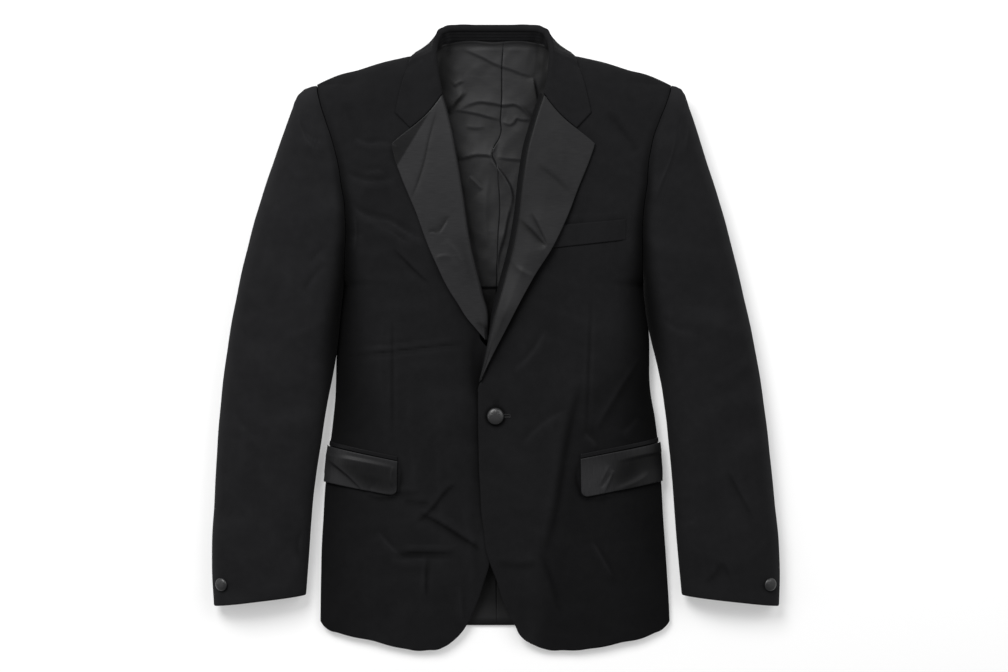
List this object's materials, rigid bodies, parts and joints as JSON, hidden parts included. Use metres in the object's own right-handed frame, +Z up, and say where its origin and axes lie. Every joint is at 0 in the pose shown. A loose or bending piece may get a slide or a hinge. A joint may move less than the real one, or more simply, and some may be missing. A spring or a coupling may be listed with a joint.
{
  "type": "dinner jacket",
  "caption": "Evening jacket of black wool with satin lapels and pocket flaps, closed at the front and laid flat on its back.",
  "frame": {"origin": "centre of the jacket's outline, on the plane that it lies on", "axes": "+Y from the hem to the collar, +X towards the wearer's left sleeve, +Z up through the fronts"},
  "size_m": [0.687, 0.7536, 0.0538],
  "materials": {
    "wool": "matt black wool barathea",
    "satin": "black satin with a soft sheen",
    "lining": "charcoal lining twill with a low sheen",
    "covered_button": "black satin stretched over a button shell"
  },
  "bodies": {
    "root": {"front_left": "wool", "side_left": "wool", "back_left": "wool", "lining_left": "lining", "lapel_left": "satin", "top_sleeve_left": "wool", "under_sleeve_left": "wool", "flap_left": "satin", "jetting_left": "satin", "cuff_button_left": "covered_button", "front_right": "wool", "side_right": "wool", "back_right": "wool", "lining_right": "lining", "lapel_right": "satin", "top_sleeve_right": "wool", "under_sleeve_right": "wool", "flap_right": "satin", "jetting_right": "satin", "cuff_button_right": "covered_button", "collar": "wool", "breast_welt": "wool", "front_button": "covered_button"}
  },
  "joints": []
}
